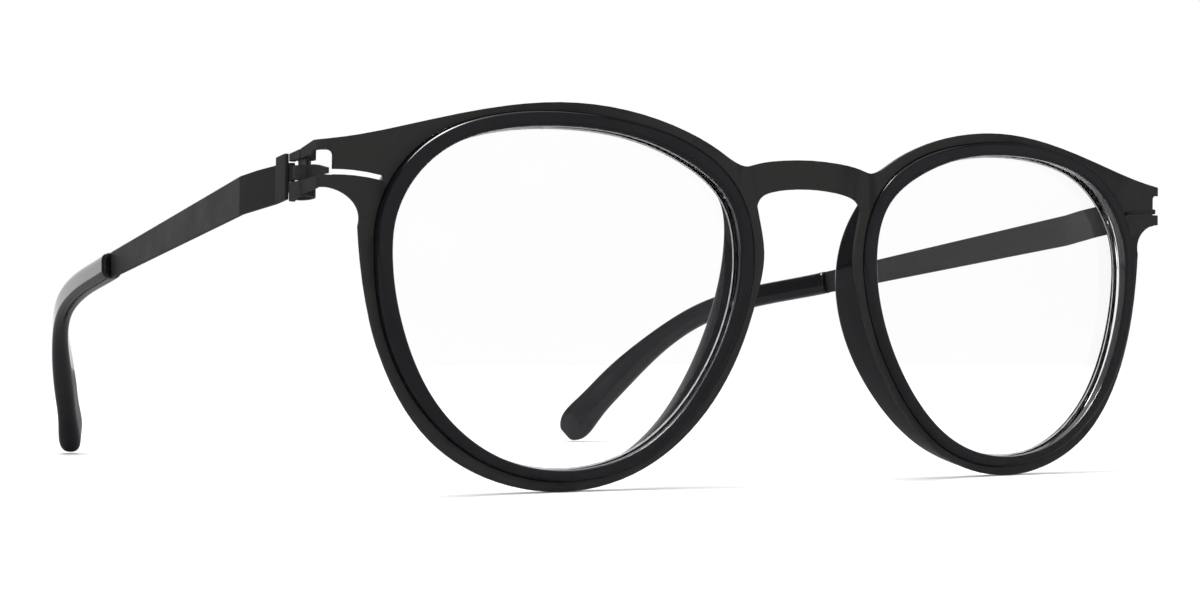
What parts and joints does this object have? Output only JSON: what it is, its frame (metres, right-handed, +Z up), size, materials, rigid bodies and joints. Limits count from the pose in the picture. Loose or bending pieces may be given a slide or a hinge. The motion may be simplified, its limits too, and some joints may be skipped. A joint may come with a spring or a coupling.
{
  "type": "eyeglasses",
  "caption": "Round eyeglasses with a matte black sheet-steel front, glossy dark acetate rim inserts, clear lenses and screwless folding temples.",
  "frame": {"origin": "middle of the bottom of the bounding box, where the rims and the temple tips stand on the floor", "axes": "+X is the viewer's right when looking at the front, +Y runs from the front back to the temple tips, +Z is up"},
  "size_m": [0.1354, 0.1376, 0.0463],
  "materials": {
    "front_steel": "matte",
    "temple_steel": "satin",
    "spring_steel": "satin",
    "acetate": "gloss",
    "lens": "gloss"
  },
  "bodies": {
    "frame": {"front_frame": "front_steel", "rim_insert_right": "acetate", "rim_insert_left": "acetate", "lens_right": "lens", "lens_left": "lens", "hinge_pin_right": "spring_steel", "hinge_pin_left": "spring_steel"},
    "arm_right": {"temple_right": "temple_steel", "hinge_clip_right": "temple_steel", "temple_tip_right": "acetate"},
    "arm_left": {"temple_left": "temple_steel", "hinge_clip_left": "temple_steel", "temple_tip_left": "acetate"}
  },
  "joints": [
    {"name": "hinge_right", "type": "hinge", "parent": "frame", "child": "arm_right", "pos_m": [0.0655, -0.0583, 0.03735], "axis": [0, -0.0175, 0.9998], "range_deg": [0, 84]},
    {"name": "hinge_left", "type": "hinge", "parent": "frame", "child": "arm_left", "pos_m": [-0.0655, -0.0583, 0.03735], "axis": [0, 0.0175, -0.9998], "range_deg": [0, 76]}
  ]
}
